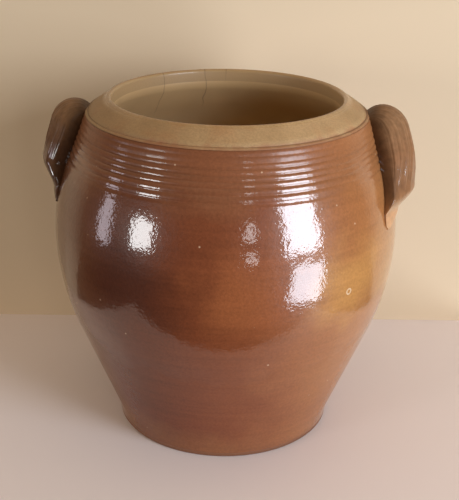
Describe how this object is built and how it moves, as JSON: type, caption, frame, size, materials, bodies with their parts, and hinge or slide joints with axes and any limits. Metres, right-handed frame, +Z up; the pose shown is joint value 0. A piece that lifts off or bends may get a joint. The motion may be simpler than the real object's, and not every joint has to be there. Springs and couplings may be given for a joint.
{
  "type": "lard pot",
  "caption": "Open stoneware lard pot with a round belly, bevelled collar, turned shoulder rings and ribbed strap handles, glazed brown outside and beige inside.",
  "frame": {"origin": "on the table, at the middle of the pot's foot", "axes": "+Z up along the pot's axis, +X towards the right handle, -Y towards the front"},
  "size_m": [0.3013, 0.281, 0.28],
  "materials": {
    "stoneware": "matt bare clay",
    "brown_glaze": "glossy red-brown glaze",
    "beige_glaze": "satin beige glaze",
    "handle_glaze": "glossy brown glaze"
  },
  "bodies": {
    "root": {"jar": "stoneware", "glaze_outside": "brown_glaze", "glaze_inside": "beige_glaze", "handle_right": "handle_glaze", "handle_left": "handle_glaze"}
  },
  "joints": []
}
